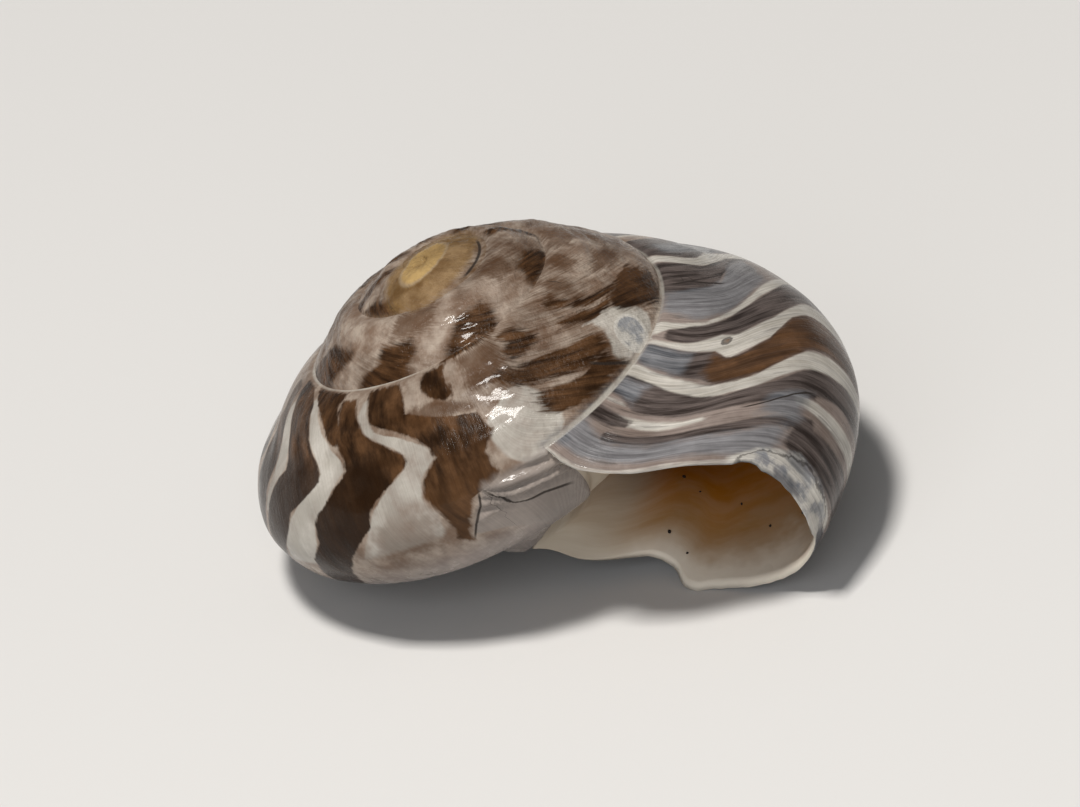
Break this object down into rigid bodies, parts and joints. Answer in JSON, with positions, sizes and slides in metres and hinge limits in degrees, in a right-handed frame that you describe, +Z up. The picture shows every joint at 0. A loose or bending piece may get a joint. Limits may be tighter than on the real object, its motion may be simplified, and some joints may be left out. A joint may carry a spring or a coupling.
{
  "type": "top shell",
  "caption": "Low, right-coiled top shell with a wide open mouth and a chipped lower lip, lying on its mouth's rim and base.",
  "frame": {"origin": "centre of the bounding box's bottom face, on the surface that the shell lies on", "axes": "+Z up from that surface; the mouth opens towards -Y; the apex leans towards -X"},
  "size_m": [0.0264, 0.0242, 0.0148],
  "materials": {
    "shell": "polished and mottled, worn at the apex"
  },
  "bodies": {
    "root": {"shell": "shell"}
  },
  "joints": []
}
